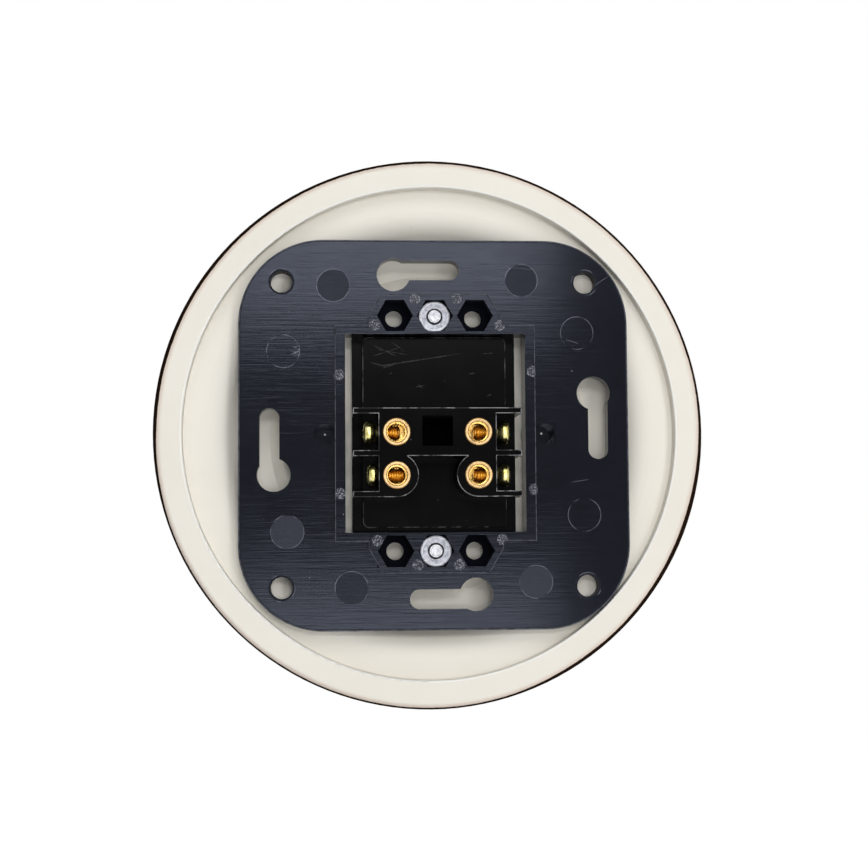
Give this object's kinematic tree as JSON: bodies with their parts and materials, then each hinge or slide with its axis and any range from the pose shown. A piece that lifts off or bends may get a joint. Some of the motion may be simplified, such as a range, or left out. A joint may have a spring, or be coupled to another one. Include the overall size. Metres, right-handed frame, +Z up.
{
  "type": "double rocker wall switch",
  "caption": "Round ceramic wall switch with a square mounting frame, brass tube terminals and side by side rockers that tip sprung contact levers.",
  "frame": {"origin": "centre of the mounting frame's rear face, in the plane that meets the wall", "axes": "+Y towards the wall, -Y the front, +X to the right seen from the front, +Z up"},
  "size_m": [0.101, 0.0243, 0.101],
  "materials": {
    "glazed_cover": "cream matt ceramic behind, dark brown gloss glaze on the front and round the edge",
    "frame_plastic": "black satin moulded plastic",
    "housing_plastic": "black moulded plastic, half gloss",
    "rocker_plastic": "dark brown gloss plastic",
    "plunger_plastic": "natural hard plastic",
    "brass": "turned bright brass",
    "zinc_steel": "bright zinc plate",
    "spring_steel": "drawn steel wire and pin"
  },
  "bodies": {
    "housing": {"cover_plate": "glazed_cover", "mounting_frame": "frame_plastic", "switch_base": "housing_plastic", "switch_bezel": "housing_plastic", "rocker_axle": "spring_steel", "cover_nut_top": "zinc_steel", "cover_screw_top": "zinc_steel", "cover_nut_bottom": "zinc_steel", "cover_screw_bottom": "zinc_steel", "terminal_upper_left": "brass", "clamp_screw_upper_left": "brass", "terminal_lower_left": "brass", "clamp_screw_lower_left": "brass", "terminal_upper_right": "brass", "clamp_screw_upper_right": "brass", "terminal_lower_right": "brass", "clamp_screw_lower_right": "brass", "common_bracket_left": "brass", "fixed_contact_left": "brass", "common_bracket_right": "brass", "fixed_contact_right": "brass"},
    "rocker_left": {"rocker_left": "rocker_plastic", "plunger_spring_left": "spring_steel"},
    "lever_left": {"contact_lever_left": "brass"},
    "plunger_left": {"plunger_left": "plunger_plastic"},
    "rocker_right": {"rocker_right": "rocker_plastic", "plunger_spring_right": "spring_steel"},
    "lever_right": {"contact_lever_right": "brass"},
    "plunger_right": {"plunger_right": "plunger_plastic"}
  },
  "joints": [
    {"name": "rocker_left_tilt", "type": "hinge", "parent": "housing", "child": "rocker_left", "pos_m": [-0.0055, -0.0096, 0], "axis": [-1, 0, 0], "range_deg": [0, 14]},
    {"name": "lever_left_tip", "type": "hinge", "parent": "housing", "child": "lever_left", "pos_m": [-0.00727, -0.0035, 0], "axis": [-1, 0, 0], "range_deg": [-11, 0]},
    {"name": "plunger_left_slide", "type": "slide", "parent": "rocker_left", "child": "plunger_left", "axis": [0, -0.9925, -0.1219], "range_m": [0, 0.0008], "stiffness_N_per_m": 500, "springref_m": -0.002, "deforming": ["plunger_spring_left"]},
    {"name": "rocker_right_tilt", "type": "hinge", "parent": "housing", "child": "rocker_right", "pos_m": [0.0055, -0.0096, 0], "axis": [-1, 0, 0], "range_deg": [0, 14]},
    {"name": "lever_right_tip", "type": "hinge", "parent": "housing", "child": "lever_right", "pos_m": [0.00727, -0.0035, 0], "axis": [-1, 0, 0], "range_deg": [-11, 0]},
    {"name": "plunger_right_slide", "type": "slide", "parent": "rocker_right", "child": "plunger_right", "axis": [0, -0.9925, -0.1219], "range_m": [0, 0.0008], "stiffness_N_per_m": 500, "springref_m": -0.002, "deforming": ["plunger_spring_right"]}
  ],
  "couplings": [
    {"joint": "lever_left_tip", "follows": "rocker_left_tilt", "ratio": -0.785},
    {"joint": "lever_right_tip", "follows": "rocker_right_tilt", "ratio": -0.785}
  ]
}
